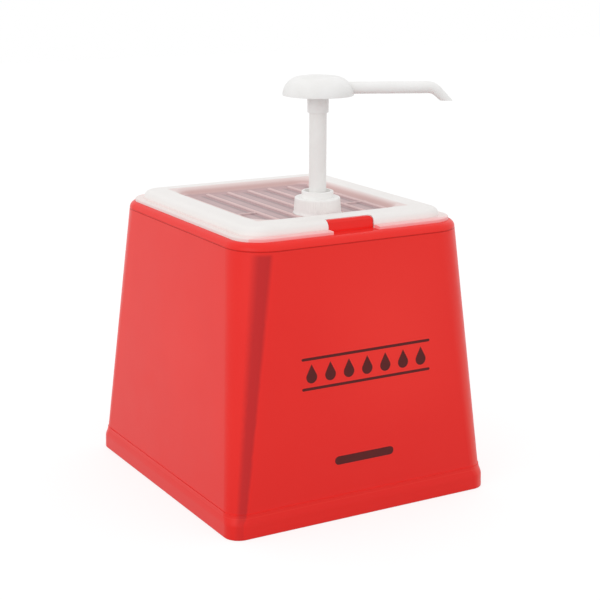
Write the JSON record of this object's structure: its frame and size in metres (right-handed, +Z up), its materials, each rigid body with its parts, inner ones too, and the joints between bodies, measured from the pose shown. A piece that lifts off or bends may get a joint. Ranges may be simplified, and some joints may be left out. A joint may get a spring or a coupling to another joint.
{
  "type": "counter-top sauce pump dispenser",
  "caption": "Tapered box-shaped table dispenser for sauce, with a sunken ribbed lid and a vertical press pump whose head carries a sideways spout.",
  "frame": {"origin": "middle of the base, on the surface that the dispenser stands on", "axes": "+Z up; -Y is the front, the side with the catch and the print; +X is the viewer's right from the front"},
  "size_m": [0.265, 0.2822, 0.3756],
  "materials": {
    "red_plastic": "satin, slightly translucent red",
    "lid_plastic": "milky translucent white",
    "pump_plastic": "satin white",
    "print": "matt printed ink"
  },
  "bodies": {
    "dispenser": {"housing": "red_plastic", "lid": "lid_plastic", "collar": "pump_plastic", "guide_ring": "pump_plastic"},
    "plunger": {"stem": "pump_plastic"},
    "head": {"pump_head": "pump_plastic"}
  },
  "joints": [
    {"name": "press", "type": "slide", "parent": "dispenser", "child": "plunger", "axis": [0, 0, -1], "range_m": [0, 0.062], "stiffness_N_per_m": 250, "springref_m": -0.04},
    {"name": "swivel", "type": "hinge", "parent": "plunger", "child": "head", "pos_m": [0, -0.0543, 0.352], "axis": [0, 0, 1], "continuous": true}
  ]
}
